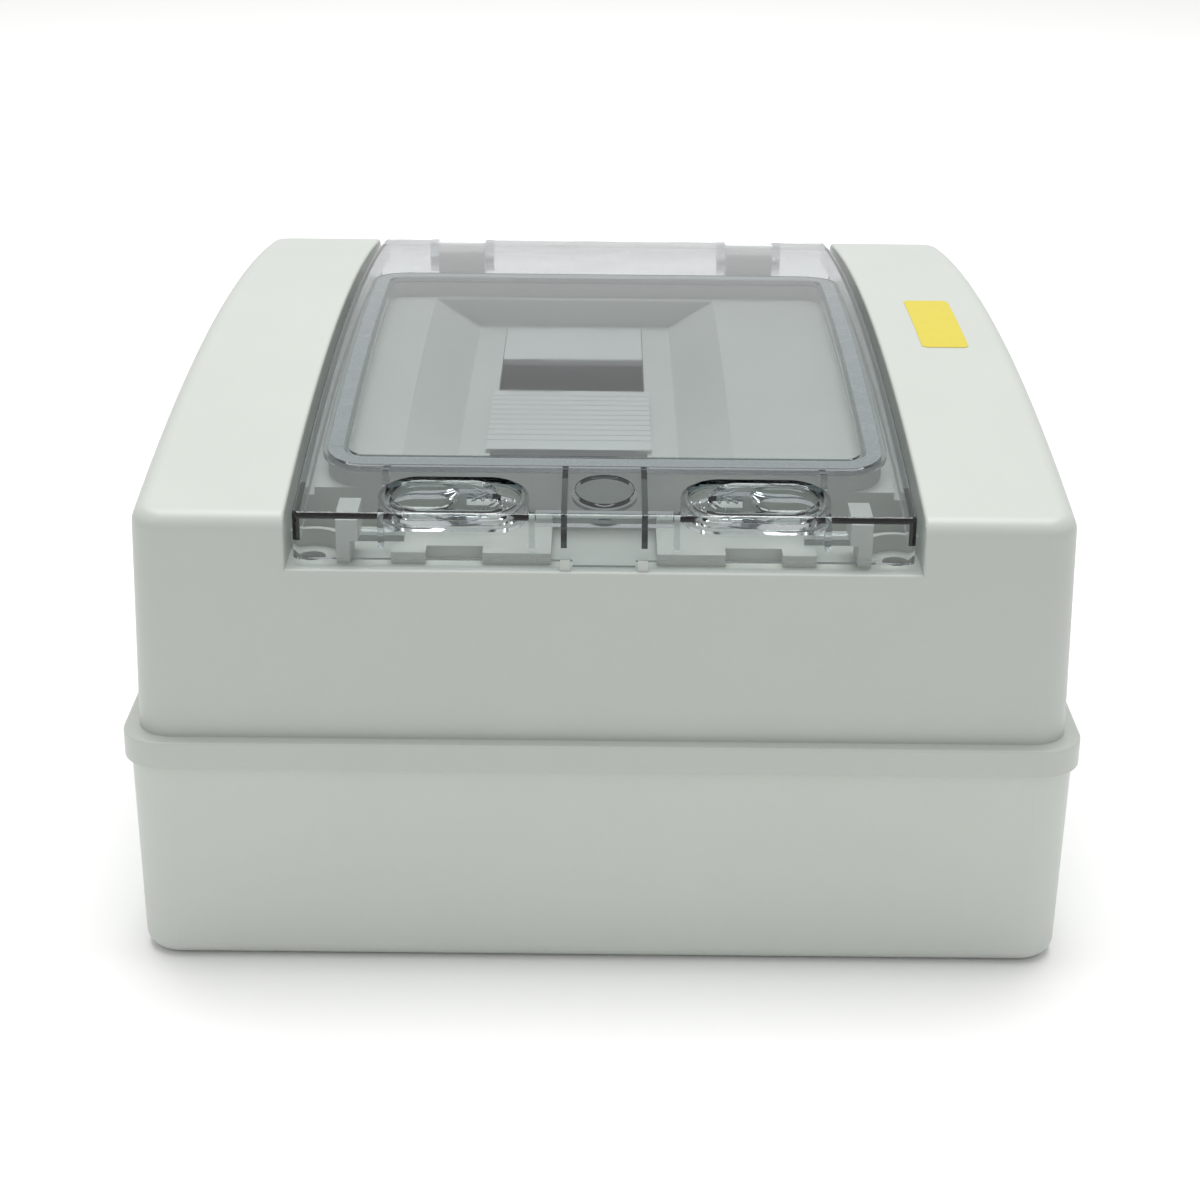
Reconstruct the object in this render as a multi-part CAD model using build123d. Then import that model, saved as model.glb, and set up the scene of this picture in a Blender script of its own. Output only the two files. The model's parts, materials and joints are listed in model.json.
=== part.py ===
from build123d import *
import math
import os

# A surface-mount distribution box lying on its back. +Z points out of the wall, +X is the
# box's own upward direction, and the door opens from the -Y side about a hinge at +Y.
# All sizes are in millimetres.

# Outside of the cover and its rim
rim_width = 260.0
rim_length = 300.0
rim_corner_radius = 12.0
rim_ledge = 4.0
rim_ledge_thickness = 2.5
rim_lap = 3.2
rim_wall = 1.3
rim_clearance = 0.3
rim_edge_fillet = 0.8
crown_height = 142.5
arch_radius = 850.0
cover_wall = 2.8
cover_draft = 1.6
top_edge_fillet = 5.0
channel_edge_fillet = 1.0
ledge_edge_fillet = 0.9

# Base tray
base_height = 63.0
base_wall = 3.0
base_floor = 3.5
base_draft = 0.64
base_edge_fillet = 4.5
mount_margin_x = 35.0
mount_margin_y = 32.0
mount_hole_diameter = 5.5
mount_boss_diameter = 15.0
mount_boss_height = 4.0
knockout_diameter = 25.5
knockout_pitch = 48.0
knockout_count = 5
knockout_height = 31.0
knockout_groove_width = 0.8
knockout_groove_depth = 1.0

# Gasket between base and cover
gasket_thickness = 2.0
gasket_edge_margin = 0.3

# Cover screws, in the four corner wells
screw_margin_x = 6.2
screw_margin_y = 16.0
screw_diameter = 3.5
screw_length = 22.0
screw_head_diameter = 6.4
screw_head_height = 2.8
screw_clearance = 0.3
well_diameter = 7.2
well_wall = 1.7
well_seat_thickness = 3.0
well_guard_gap = 4.2
well_guard_thickness = 1.6
well_guard_height = 4.8
pillar_diameter = 12.4
pillar_web_width = 6.0
pillar_gap = 0.3
insert_diameter = 6.6
insert_length = 10.0
fit_clearance = 0.02

# Channel between the two wings, where the door lies
channel_width = 167.2
channel_depth = 9.1
gutter_depth = 11.2
ledge_depth = 16.7
near_ledge_length = 37.0
far_rim_margin = 9.5
seal_seat_depth = 4.6

# Hopper and module slot
slot_centre_x = -10.3
slot_width = 45.0
module_width = 18.0
module_count = 8
slot_near_margin = 19.0
hopper_drop = 19.5
hopper_floor_thickness = 2.5
hopper_floor_width = 63.0
hopper_mouth_width = 92.4
hopper_near_margin = 4.0
hopper_far_margin = 1.3

# Blanking strips
far_strip_module_count = 2
open_gap_module_count = 2
near_strip_module_count = 3
strip_clearance = 0.2
strip_thickness = 2.0
strip_lip = 1.5
strip_lip_thickness = 1.2
strip_line_width = 0.7
strip_line_depth = 0.4
strip_ridge_height = 0.12
strip_ridge_pitch = 4.5
strip_hook_length = 10.0
strip_hook_depth = 1.6

# Door
door_side_gap = 1.9
door_near_margin = 8.2
door_far_margin = 5.0
door_thickness = 2.4
door_corner_radius = 2.0
door_edge_fillet = 1.2
door_flange_thickness = 2.0
door_flange_depth = 8.5
door_skirt_thickness = 2.2
door_skirt_gap = 2.0
door_tab_width = 16.6
door_tab_gap = 0.5
door_root_thickness = 1.7
door_root_length = 4.8
door_root_half_width = 18.0
gusset_places = (19.0, 58.6)
gusset_thickness = 1.6
gusset_length = 4.6
gusset_depth = 10.2
seal_rib_inset = 4.3
seal_rib_corner = 12.0
seal_rib_thickness = 1.3
seal_rib_depth = 1.6
seal_width = 4.4
seal_side_gap = 0.1
running_gap = 0.3
lock_place_diameter = 16.0
lock_place_inset = 14.0
lock_plug_clearance = 0.25
lock_plug_collar = 0.7
lock_plug_collar_thickness = 1.0
centre_rib_x = 10.6
centre_rib_thickness = 1.6
centre_rib_depth = 10.0
side_rib_x = 59.0
side_rib_thickness = 1.8
side_rib_depth = 6.0
side_rib_length = 5.5

# Hinge
hinge_x = 52.9
hinge_inset = 5.5
hinge_rise = 7.3
hinge_lug_width = 16.6
hinge_block_reach = 8.5
hinge_side_gap = 0.4
hinge_cheek_thickness = 3.0
hinge_cheek_radius = 3.8
hinge_lug_radius = 3.8
hinge_pin_diameter = 3.0
hinge_pin_clearance = 0.05
hinge_notch_depth = 10.5

# Latch slides
latch_x = 40.0
latch_inset = 11.3
pocket_width = 17.5
pocket_wall = 1.2
pocket_depth = 5.7
pocket_lip = 2.2
pocket_lip_thickness = 1.2
pocket_undercut = 0.7
slide_length = 30.2
slide_width = 16.5
slide_top_drop = 0.4
slide_step_inset = 0.7
slide_step_depth = 0.8
slide_end_gap = 0.5
slide_travel = 5.0
slide_flange_thickness = 1.5
slide_flange_width = 18.3
slide_flange_inset = 0.5
cup_length = 18.2
cup_width = 13.4
cup_depth = 6.5
cup_floor_length = 12.4
cup_floor_width = 9.0
cup_floor_shift = 2.2
cup_wall = 1.1
arrow_length = 4.4
arrow_width = 7.6
arrow_height = 0.3
arrow_line = 0.3
tongue_width = 6.0
tongue_thickness = 1.8
tongue_gap = 0.7
tongue_reach = 8.6
tongue_leg_inset = 1.8
tongue_leg_thickness = 2.8
strike_gap = 0.6
strike_width_x = 3.6
strike_back_margin = 3.5
strike_top_gap = 0.5
strike_head_reach = 2.1
strike_head_gap = 0.4
spring_diameter = 2.6
spring_wire_diameter = 0.4
spring_end_gap = 0.1
spring_turns = 6
spring_pocket_length = 9.0
spring_pocket_width = 3.4

# Small features on the near ledge
ledge_block_x = 10.2
ledge_block_width = 2.6
ledge_block_depth = 1.5
ledge_block_height = 2.6
ledge_step_inner = 14.0
ledge_step_outer = 56.0
ledge_step_height = 3.5
ledge_notch_inner = 32.0
ledge_notch_outer = 47.0
ledge_notch_depth = 5.0

# Rail, its brackets and their screws
rail_width = 35.0
rail_height = 7.5
rail_thickness = 1.0
rail_base_width = 27.0
rail_end_margin = 32.0
rail_drop = 48.0
rail_slot_length = 15.0
rail_slot_width = 6.2
rail_slot_pitch = 25.0
bracket_thickness = 2.0
bracket_width = 16.0
bracket_end_margin = 18.0
bracket_top_width = 46.0
bracket_foot_length = 13.0
bracket_boss_diameter = 10.0
bracket_boss_height = 7.0
bracket_screw_diameter = 3.2
bracket_screw_length = 9.0
bracket_screw_head_diameter = 6.6
bracket_screw_head_height = 2.4
rail_screw_diameter = 4.0
rail_screw_length = 9.0
rail_screw_head_diameter = 9.0
rail_screw_head_height = 2.6
pilot_clearance = 0.05

# Terminal bars
bar_length = 92.0
bar_width = 7.0
bar_height = 9.0
bar_terminal_count = 9
bar_terminal_pitch = 10.0
bar_wire_hole_diameter = 4.6
bar_screw_diameter = 4.0
bar_screw_head_diameter = 6.0
bar_screw_head_height = 2.2
holder_length = 112.0
holder_width = 15.0
holder_height = 16.0
holder_seat_depth = 3.0
neutral_bar_margin = 44.0
earth_bar_margin = 34.0

# Bare sticker on the wing
label_width = 14.2
label_length = 50.8
label_corner_radius = 2.0
label_offset_x = -1.5
label_y = -1.4
label_thickness = 0.15


def arch_height(y):
    """Height of the cover's top at a distance y from the middle."""
    return crown_height - arch_radius + math.sqrt(arch_radius**2 - y**2)


# Values worked out from the sizes above
cut_overshoot = 20.0
TOP = crown_height + cut_overshoot
cover_width = rim_width - 2 * rim_ledge
cover_length = rim_length - 2 * rim_ledge
cover_corner_radius = rim_corner_radius - 0.5 * rim_ledge
base_top_width = rim_width - 2 * (rim_wall + rim_clearance)
base_top_length = rim_length - 2 * (rim_wall + rim_clearance)
base_corner_radius = rim_corner_radius - rim_wall
mount_spacing_x = rim_width - 2 * mount_margin_x
mount_spacing_y = rim_length - 2 * mount_margin_y
cover_seat_height = base_height + gasket_thickness
rim_top_height = cover_seat_height + rim_ledge_thickness
rim_bottom_height = base_height - rim_lap
screw_spacing_x = channel_width - 2 * screw_margin_x
screw_spacing_y = rim_length - 2 * screw_margin_y
door_width = channel_width - 2 * door_side_gap
door_near_edge = rim_length / 2 - door_near_margin
door_far_edge = rim_length / 2 - door_far_margin
latch_y = latch_inset - door_near_edge
ledge_height = arch_height(latch_y) - ledge_depth
ledge_back_near = rim_length / 2 - near_ledge_length
hopper_floor_height = crown_height - hopper_drop
slot_near_end = slot_near_margin - ledge_back_near
slot_far_end = slot_near_end + module_count * module_width
ledge_back_far = slot_far_end + far_rim_margin
door_skirt_height = ledge_height + door_skirt_gap
door_tab_height = ledge_height + door_tab_gap
seal_rib_width = door_width - 2 * seal_rib_inset
seal_rib_near = ledge_back_near + seal_rib_thickness
seal_rib_far = ledge_back_far + seal_rib_thickness
lock_place_y = lock_place_inset - door_near_edge
hinge_y = door_far_edge - hinge_inset
hinge_height = ledge_height + hinge_rise
pocket_length = slide_length + slide_travel + 2 * slide_end_gap
rail_length = rim_length - 2 * rail_end_margin
rail_top_height = hopper_floor_height - rail_drop
rail_seat_height = rail_top_height - rail_height
bracket_y = rail_length / 2 - bracket_end_margin
label_x = (cover_width + channel_width) / 4 + label_offset_x
latch_mirror = {"upper": 1.0, "lower": -1.0}
terminal_bar_places = {
    "neutral_bar": rim_width / 2 - neutral_bar_margin,
    "earth_bar": earth_bar_margin - rim_width / 2,
}


def box(x0, x1, y0, y1, z0, z1):
    """Box between two corners."""
    size = Box(x1 - x0, y1 - y0, z1 - z0)
    return Pos((x0 + x1) / 2, (y0 + y1) / 2, (z0 + z1) / 2) * size


def rod(x, y, z0, z1, diameter):
    """Upright cylinder."""
    return Pos(x, y, (z0 + z1) / 2) * Cylinder(diameter / 2, z1 - z0)


def rod_along_x(x0, x1, y, z, diameter):
    """Cylinder that lies along X."""
    turned = Rotation(0, 90, 0) * Cylinder(diameter / 2, x1 - x0)
    return Pos((x0 + x1) / 2, y, z) * turned


def arch_prism(x0, x1, y0, y1, flat_height, drop):
    """Solid between a level plane and the cover's arch lowered by drop."""
    middle = (y0 + y1) / 2
    start = (y0, arch_height(y0) - drop)
    crown = (middle, arch_height(middle) - drop)
    end = (y1, arch_height(y1) - drop)
    outline = Curve() + [
        ThreePointArc(start, crown, end),
        Line(end, (y1, flat_height)),
        Line((y1, flat_height), (y0, flat_height)),
        Line((y0, flat_height), start),
    ]
    face = Plane.YZ.offset(x0) * make_face(outline)
    return extrude(face, amount=x1 - x0, dir=(1, 0, 0))


def arch_layer(x0, x1, y0, y1, drop_top, drop_bottom):
    """Curved plate that follows the arch between two depths under it."""
    under = arch_prism(x0, x1, y0, y1, 0.0, drop_top)
    return under - arch_prism(x0 - 1, x1 + 1, y0 - 1, y1 + 1, 0.0, drop_bottom)


def follow_arch(prism, drop_top, drop_bottom):
    """Part of an upright prism that lies between two depths under the arch."""
    size = prism.bounding_box()
    layer = arch_layer(
        size.min.X - 1, size.max.X + 1, size.min.Y - 1, size.max.Y + 1, drop_top, drop_bottom
    )
    return prism & layer


def rounded_prism(width, length, radius, z0, z1, draft=0.0, y=0.0):
    """Upright prism with rounded corners, narrower towards the top by the draft."""
    outline = Pos(0, y, z0) * RectangleRounded(width, length, radius)
    return extrude(outline, amount=z1 - z0, taper=draft)


def stadium_prism(x, y, length, width):
    """Upright prism with a stadium outline along X, through the whole height."""
    outline = Pos(x, y, 0) * SlotOverall(length, width)
    return extrude(outline, amount=TOP)


def four_corners(spacing_x, spacing_y):
    """Corners of a rectangle round the middle."""
    half_x = spacing_x / 2
    half_y = spacing_y / 2
    return [(sx * half_x, sy * half_y) for sx in (-1, 1) for sy in (-1, 1)]


def group(solids):
    """Separate solids that share one node."""
    return Compound(children=list(solids))


def headed_screw(x, y, seat, shank_diameter, length, head_diameter, head_height):
    """Pan-head screw with a cross recess, head seated at the given height."""
    head = rod(x, y, seat, seat + head_height, head_diameter)
    head = fillet(head.edges().group_by(Axis.Z)[-1], 0.3 * head_height)
    screw = head + rod(x, y, seat - length, seat, shank_diameter)
    reach = 0.3 * head_diameter
    half_width = 0.07 * head_diameter
    floor = seat + 0.45 * head_height
    top = seat + 2 * head_height
    screw -= box(x - reach, x + reach, y - half_width, y + half_width, floor, top)
    screw -= box(x - half_width, x + half_width, y - reach, y + reach, floor, top)
    return screw


def base_inner_half(outer):
    """Half of the tray's inside at its floor, from the outside at the top."""
    lean = base_height * math.tan(math.radians(base_draft))
    return outer / 2 - lean - base_wall


def make_base():
    """Moulded tray with its bosses, pillars and knock-outs."""
    lean = base_height * math.tan(math.radians(base_draft))
    floor_width = base_top_width - 2 * lean
    floor_length = base_top_length - 2 * lean
    tray = rounded_prism(
        floor_width, floor_length, base_corner_radius, 0, base_height, -base_draft
    )
    tray = fillet(tray.edges().group_by(Axis.Z)[0], base_edge_fillet)
    inner_half_x = base_inner_half(base_top_width)
    inner_half_y = base_inner_half(base_top_length)
    tray -= rounded_prism(
        2 * inner_half_x,
        2 * inner_half_y,
        base_corner_radius - base_wall,
        base_floor,
        base_height + 1,
        -base_draft,
    )
    for x, y in four_corners(screw_spacing_x, screw_spacing_y):
        pillar = rod(x, y, base_floor - 1, base_height, pillar_diameter)
        wall_y = math.copysign(inner_half_y + 0.5 * base_wall, y)
        half_web = pillar_web_width / 2
        low, high = sorted((y, wall_y))
        pillar += box(x - half_web, x + half_web, low, high, base_floor - 1, base_height)
        tray += pillar
        hole_floor = base_height - screw_length - 2 * screw_clearance
        tray -= rod(x, y, hole_floor, base_height + 1, screw_diameter + 2 * screw_clearance)
        insert_bore = insert_diameter + 2 * fit_clearance
        tray -= rod(x, y, base_height - insert_length, base_height + 1, insert_bore)
    for x, y in four_corners(mount_spacing_x, mount_spacing_y):
        boss_top = base_floor + mount_boss_height
        tray += rod(x, y, base_floor - 1, boss_top, mount_boss_diameter)
        tray -= rod(x, y, -1, boss_top + 1, mount_hole_diameter)
    for x, y in bracket_screw_places():
        boss_top = base_floor + bracket_boss_height
        tray += rod(x, y, base_floor - 1, boss_top, bracket_boss_diameter)
        bore = bracket_screw_diameter + 2 * pilot_clearance
        tray -= rod(x, y, base_floor, boss_top + 1, bore)
    for side in (-1, 1):
        tray -= knockout_grooves(side)
    return tray


def knockout_grooves(side):
    """Ring grooves that mark the cable knock-outs in one X wall."""
    rings = Part()
    outside = side * rim_width / 2
    lean = (base_height - knockout_height) * math.tan(math.radians(base_draft))
    wall_outside = base_top_width / 2 - lean
    groove_floor = side * (wall_outside - knockout_groove_depth)
    low, high = sorted((groove_floor, outside))
    for index in range(knockout_count):
        y = (index - (knockout_count - 1) / 2) * knockout_pitch
        ring = rod_along_x(low, high, y, knockout_height, knockout_diameter)
        core = knockout_diameter - 2 * knockout_groove_width
        ring -= rod_along_x(low, high, y, knockout_height, core)
        rings += ring
    return rings


def make_cover_gasket():
    """Flat ring on the tray's top edge."""
    outer = rounded_prism(
        base_top_width - 2 * gasket_edge_margin,
        base_top_length - 2 * gasket_edge_margin,
        base_corner_radius - gasket_edge_margin,
        base_height,
        cover_seat_height,
    )
    inset = 2 * (base_wall - gasket_edge_margin)
    inner = rounded_prism(
        base_top_width - inset,
        base_top_length - inset,
        base_corner_radius - base_wall + gasket_edge_margin,
        base_height,
        cover_seat_height,
    )
    return outer - inner


def cover_outside(inset=0.0):
    """Cover body above the gasket, or its inside when inset by the wall."""
    body = rounded_prism(
        cover_width - 2 * inset,
        cover_length - 2 * inset,
        cover_corner_radius - inset,
        cover_seat_height - (1.0 if inset else 0.0),
        TOP,
        cover_draft,
    )
    half_x = rim_width / 2
    half_y = rim_length / 2
    under = arch_prism(-half_x, half_x, -half_y, half_y, 0.0, inset)
    return body & under


def door_channel_void():
    """Space between the wings and over the two ledges."""
    half = channel_width / 2
    reach = rim_length / 2
    void = arch_prism(-half, half, -reach, reach, TOP, channel_depth)
    void += box(-half, half, -reach, -ledge_back_near, ledge_height, TOP)
    void += box(-half, half, ledge_back_far, reach, ledge_height, TOP)
    return void


def gutter_inner_x():
    """Inner edge of the deeper gutter that takes the door's side flange."""
    return door_width / 2 - door_flange_thickness - 3 * running_gap


def recess_voids(grow):
    """Channel, gutters, ledges and hopper, each made larger by grow."""
    half = channel_width / 2 + grow
    near = -ledge_back_near + grow
    far = ledge_back_far - grow
    reach = rim_length / 2
    void = arch_prism(-half, half, -reach, reach, TOP, channel_depth + grow)
    void += box(-half, half, -reach, near, ledge_height - grow, TOP)
    void += box(-half, half, far, reach, ledge_height - grow, TOP)
    inner = gutter_inner_x() - grow
    for side in (-1, 1):
        low, high = sorted((side * inner, side * half))
        void += arch_prism(low, high, near - 1, far + 1, TOP, gutter_depth + grow)
    return void + hopper_void(grow)


def hopper_section(y, grow):
    """Cross-section of the hopper at one place along the slot."""
    floor_z = hopper_floor_height - (hopper_floor_thickness if grow else 0.0)
    rim_z = arch_height(y) - channel_depth
    floor_half = hopper_floor_width / 2 + grow
    mouth_half = hopper_mouth_width / 2 + grow
    points = [
        (slot_centre_x - floor_half, floor_z),
        (slot_centre_x + floor_half, floor_z),
        (slot_centre_x + mouth_half, rim_z),
        (slot_centre_x + mouth_half, rim_z + 3),
        (slot_centre_x - mouth_half, rim_z + 3),
        (slot_centre_x - mouth_half, rim_z),
    ]
    plane = Plane(origin=(0, y, 0), x_dir=(1, 0, 0), z_dir=(0, -1, 0))
    return plane * make_face(Polyline(points, close=True))


def hopper_void(grow):
    """Recess with sloping sides over the module slot."""
    near = slot_near_end - hopper_near_margin - grow
    far = slot_far_end + hopper_far_margin + grow
    places = [near + (far - near) * step / 3 for step in range(4)]
    return loft([hopper_section(y, grow) for y in places])


def cover_wells():
    """Upright tubes that lead to the cover screws."""
    diameter = well_diameter + 2 * well_wall
    tubes = Part()
    for x, y in four_corners(screw_spacing_x, screw_spacing_y):
        tubes += rod(x, y, base_height + pillar_gap, ledge_height, diameter)
    return tubes


def make_front_cover():
    """Cover with the overlapping rim, wings, door channel, hopper and slot."""
    outside = cover_outside()
    top = outside.faces().sort_by(Axis.Z)[-1]
    outside = fillet(top.edges(), top_edge_fillet)
    rim = rounded_prism(
        rim_width, rim_length, rim_corner_radius, rim_bottom_height, rim_top_height
    )
    rim = fillet(rim.edges().group_by(Axis.Z)[-1], rim_edge_fillet)
    rim -= rounded_prism(
        rim_width - 2 * rim_wall,
        rim_length - 2 * rim_wall,
        rim_corner_radius - rim_wall,
        rim_bottom_height - 1,
        cover_seat_height,
    )
    channelled = outside - door_channel_void()
    half = channel_width / 2
    rounded = [
        edge
        for edge in channelled.edges()
        if abs(abs(edge.center().X) - half) < 0.01 and edge.center().Z > ledge_height + 1
        and edge.length > 0.8 * cover_length
    ]
    channelled = fillet(rounded, channel_edge_fillet)
    ledge_edges = [
        edge
        for edge in channelled.edges()
        if abs(edge.center().Z - ledge_height) < 0.01 and edge.length > 0.9 * channel_width
        and abs(edge.center().Y) > max(ledge_back_near, ledge_back_far) + 1
    ]
    channelled = fillet(ledge_edges, ledge_edge_fillet)
    skin = channelled - cover_outside(cover_wall)
    backing = (recess_voids(cover_wall) & outside) - door_channel_void()
    backing &= cover_outside(0.5 * cover_wall)
    cover = skin + rim - cover_outside(cover_wall) + backing + cover_wells()
    cover -= recess_voids(0.0)
    for x, y in four_corners(screw_spacing_x, screw_spacing_y):
        seat = base_height + pillar_gap + well_seat_thickness
        cover -= rod(x, y, seat, ledge_height + 1, well_diameter)
        cover -= rod(x, y, base_height, seat + 1, screw_diameter + 2 * screw_clearance)
    half_slot = slot_width / 2
    cover -= box(
        slot_centre_x - half_slot,
        slot_centre_x + half_slot,
        slot_near_end,
        slot_far_end,
        hopper_floor_height - 2 * hopper_floor_thickness,
        hopper_floor_height + 1,
    )
    cover += seal_ring(0.0, seal_seat_depth, channel_depth + 0.5 * cover_wall)
    cover += hinge_lugs()
    cover += ledge_features()
    return cover


def hinge_lugs():
    """Lugs on the far ledge with the blocks before them, bored for the hinge pins."""
    lugs = Part()
    for side in (-1, 1):
        x0 = side * hinge_x - hinge_lug_width / 2
        x1 = side * hinge_x + hinge_lug_width / 2
        radius = hinge_lug_radius
        lug = rod_along_x(x0, x1, hinge_y, hinge_height, 2 * radius)
        lug += box(x0, x1, hinge_y - radius, hinge_y + radius, ledge_height - 1, hinge_height)
        block_y = hinge_y - hinge_block_reach
        lug += box(x0, x1, block_y, hinge_y, ledge_height - 1, hinge_height + radius)
        bore = hinge_pin_diameter + 2 * hinge_pin_clearance
        lug -= rod_along_x(x0 - 1, x1 + 1, hinge_y, hinge_height, bore)
        lugs += lug
    return lugs


def strike_inner_x():
    """Inner face of the strike post, just past the tongue's tip."""
    return slide_outer_x() + tongue_reach + strike_gap


def tongue_top_height():
    """Top of a latch tongue, which passes just over the step on the ledge."""
    return ledge_height + ledge_step_height + tongue_gap + tongue_thickness


def slide_outer_x():
    """Outer end of a latch slide at rest."""
    return latch_x + pocket_length / 2 - slide_end_gap


def well_guard(side):
    """Low curved wall behind one near well."""
    x = side * screw_spacing_x / 2
    y = -screw_spacing_y / 2
    inner = well_diameter + 2 * well_guard_gap
    outer = inner + 2 * well_guard_thickness
    top = ledge_height + well_guard_height
    ring = rod(x, y, ledge_height - 1, top, outer) - rod(x, y, 0, TOP, inner)
    low, high = sorted((side * (strike_inner_x() + 1), side * (channel_width / 2 + 1)))
    return ring & box(low, high, y, y + outer, ledge_height - 1, top)


def ledge_features():
    """Strike posts, small blocks, curved walls and the notched step on the near ledge."""
    features = Part()
    post_x = strike_inner_x()
    head_bottom = tongue_top_height() + strike_head_gap
    y0 = -door_near_edge + door_skirt_thickness + running_gap
    y1 = latch_y + strike_back_margin
    strike_top = arch_height(y0) - door_thickness - strike_top_gap
    for side in (-1, 1):
        low, high = sorted((side * post_x, side * (post_x + strike_width_x)))
        post = box(low, high, y0, y1, ledge_height - 1, strike_top)
        low, high = sorted((side * (post_x - strike_head_reach), side * (post_x + 1)))
        post += box(low, high, y0, y1, head_bottom, strike_top)
        features += post
        low, high = sorted(
            (side * ledge_block_x - ledge_block_width / 2, side * ledge_block_x + ledge_block_width / 2)
        )
        block_y = -door_near_edge - running_gap
        block_top = ledge_height + ledge_block_height
        features += box(low, high, block_y - ledge_block_depth, block_y, ledge_height - 1, block_top)
        step_top = ledge_height + ledge_step_height
        low, high = sorted((side * ledge_step_inner, side * ledge_step_outer))
        step = box(low, high, y0, -ledge_back_near + 1, ledge_height - 1, step_top)
        low, high = sorted((side * ledge_notch_inner, side * ledge_notch_outer))
        step -= box(low, high, y0 - 1, y0 + ledge_notch_depth, ledge_height, step_top + 1)
        features += step
        features += well_guard(side)
    return features


def make_blanking_strip(far_end, modules, lip, top_height):
    """Snap-in strip over part of the slot, scored underneath between half modules."""
    y1 = far_end - strip_clearance
    y0 = far_end - modules * module_width + strip_clearance
    half = slot_width / 2 - strip_clearance
    x0 = slot_centre_x - half
    x1 = slot_centre_x + half
    floor = hopper_floor_height
    strip = box(x0, x1, y0, y1, floor - strip_thickness, top_height)
    if lip > 0:
        strip += box(x0 - lip, x1 + lip, y0, y1, floor, top_height)
    line_half = strip_line_width / 2
    underside = floor - strip_thickness
    for index in range(1, 2 * modules):
        y = y1 - index * module_width / 2
        score_top = underside + strip_line_depth
        strip -= box(x0 - 1, x1 + 1, y - line_half, y + line_half, underside - 1, score_top)
    if lip > 0:
        ridge_count = int((y1 - y0) / strip_ridge_pitch)
        for index in range(1, ridge_count):
            y = y1 - index * strip_ridge_pitch
            ridge_top = top_height + strip_ridge_height
            strip += box(x0 - lip, x1 + lip, y - line_half, y + line_half, top_height - 0.5, ridge_top)
    hook_bottom = floor - hopper_floor_thickness - running_gap - strip_hook_depth
    hook_top = floor - hopper_floor_thickness - running_gap
    middle = (y0 + y1) / 2
    hook_y0 = middle - strip_hook_length / 2
    hook_y1 = middle + strip_hook_length / 2
    for side in (-1, 1):
        edge = slot_centre_x + side * half
        low, high = sorted((edge, edge - side * strip_hook_depth))
        strip += box(low, high, hook_y0, hook_y1, hook_bottom, floor - strip_thickness)
        low, high = sorted((edge, edge + side * strip_hook_depth))
        strip += box(low, high, hook_y0, hook_y1, hook_bottom, hook_top)
    return strip


def door_block(depth):
    """Outline of the door from its arched top down to one depth, top edges rounded."""
    length = door_near_edge + door_far_edge
    middle = (door_far_edge - door_near_edge) / 2
    prism = rounded_prism(door_width, length, door_corner_radius, 0, TOP, y=middle)
    half = door_width / 2 + 1
    body = prism & arch_prism(-half, half, -door_near_edge - 1, door_far_edge + 1, 0.0, 0.0)
    top = body.faces().sort_by(Axis.Z)[-1]
    body = fillet(top.edges(), door_edge_fillet)
    reach = rim_length / 2
    return body - arch_prism(-half, half, -reach, reach, 0.0, depth)


def ring_prism(width, near, far, corner, thickness):
    """Upright frame with rounded corners round the window."""
    length = near + far
    middle = (far - near) / 2
    outer = rounded_prism(width, length, corner, 0, TOP, y=middle)
    inner = rounded_prism(
        width - 2 * thickness, length - 2 * thickness, corner - thickness, 0, TOP, y=middle
    )
    return outer - inner


def seal_ring(side_gap, drop_top, drop_bottom):
    """Ring between the seal ribs, between two depths under the arch."""
    inset = seal_rib_thickness + side_gap
    ring = ring_prism(
        seal_rib_width - 2 * inset,
        seal_rib_near - inset,
        seal_rib_far - inset,
        seal_rib_corner - inset,
        seal_width - 2 * side_gap,
    )
    return follow_arch(ring, drop_top, drop_bottom)


def seal_ribs():
    """Two ribs under the door that hold the seal between them."""
    inset = seal_rib_thickness + seal_width
    outer = ring_prism(
        seal_rib_width, seal_rib_near, seal_rib_far, seal_rib_corner, seal_rib_thickness
    )
    inner = ring_prism(
        seal_rib_width - 2 * inset,
        seal_rib_near - inset,
        seal_rib_far - inset,
        seal_rib_corner - inset,
        seal_rib_thickness,
    )
    bottom = door_thickness + seal_rib_depth
    top = 0.5 * door_thickness
    return follow_arch(outer, top, bottom) + follow_arch(inner, top, bottom)


def make_door_seal():
    """Soft ring between the seal ribs, just clear of its seat on the cover."""
    return seal_ring(seal_side_gap, door_thickness, seal_seat_depth - running_gap)


def door_skirt():
    """Near edge of the door, with the tab in its middle."""
    y0 = -door_near_edge
    y1 = -door_near_edge + door_skirt_thickness
    half = door_width / 2
    skirt = box(-half, half, y0, y1, door_skirt_height, TOP)
    half_tab = door_tab_width / 2
    return skirt + box(-half_tab, half_tab, y0, y1, door_tab_height, door_skirt_height + 1)


def latch_pocket(side):
    """Block under the door that the guide of one latch slide is cut from."""
    x = side * latch_x
    undercut = 2 * pocket_undercut
    wall = undercut + 2 * pocket_wall
    outer = stadium_prism(x, latch_y, pocket_length + wall, pocket_width + wall)
    return follow_arch(outer, 0.5 * door_thickness, pocket_depth)


def latch_pocket_void(side):
    """Space of one latch slide: the opening on top, the guide under it and the way out below."""
    x = side * latch_x
    undercut = 2 * pocket_undercut
    top = stadium_prism(x, latch_y, pocket_length, pocket_width)
    guide = stadium_prism(x, latch_y, pocket_length + undercut, pocket_width + undercut)
    below = stadium_prism(x, latch_y, pocket_length, pocket_width + undercut - 2 * pocket_lip)
    lip_top = pocket_depth - pocket_lip_thickness
    void = follow_arch(top, -2.0, door_thickness + 1)
    void += follow_arch(guide, door_thickness, lip_top)
    return void + follow_arch(below, lip_top - 1, pocket_depth + 1)


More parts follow.
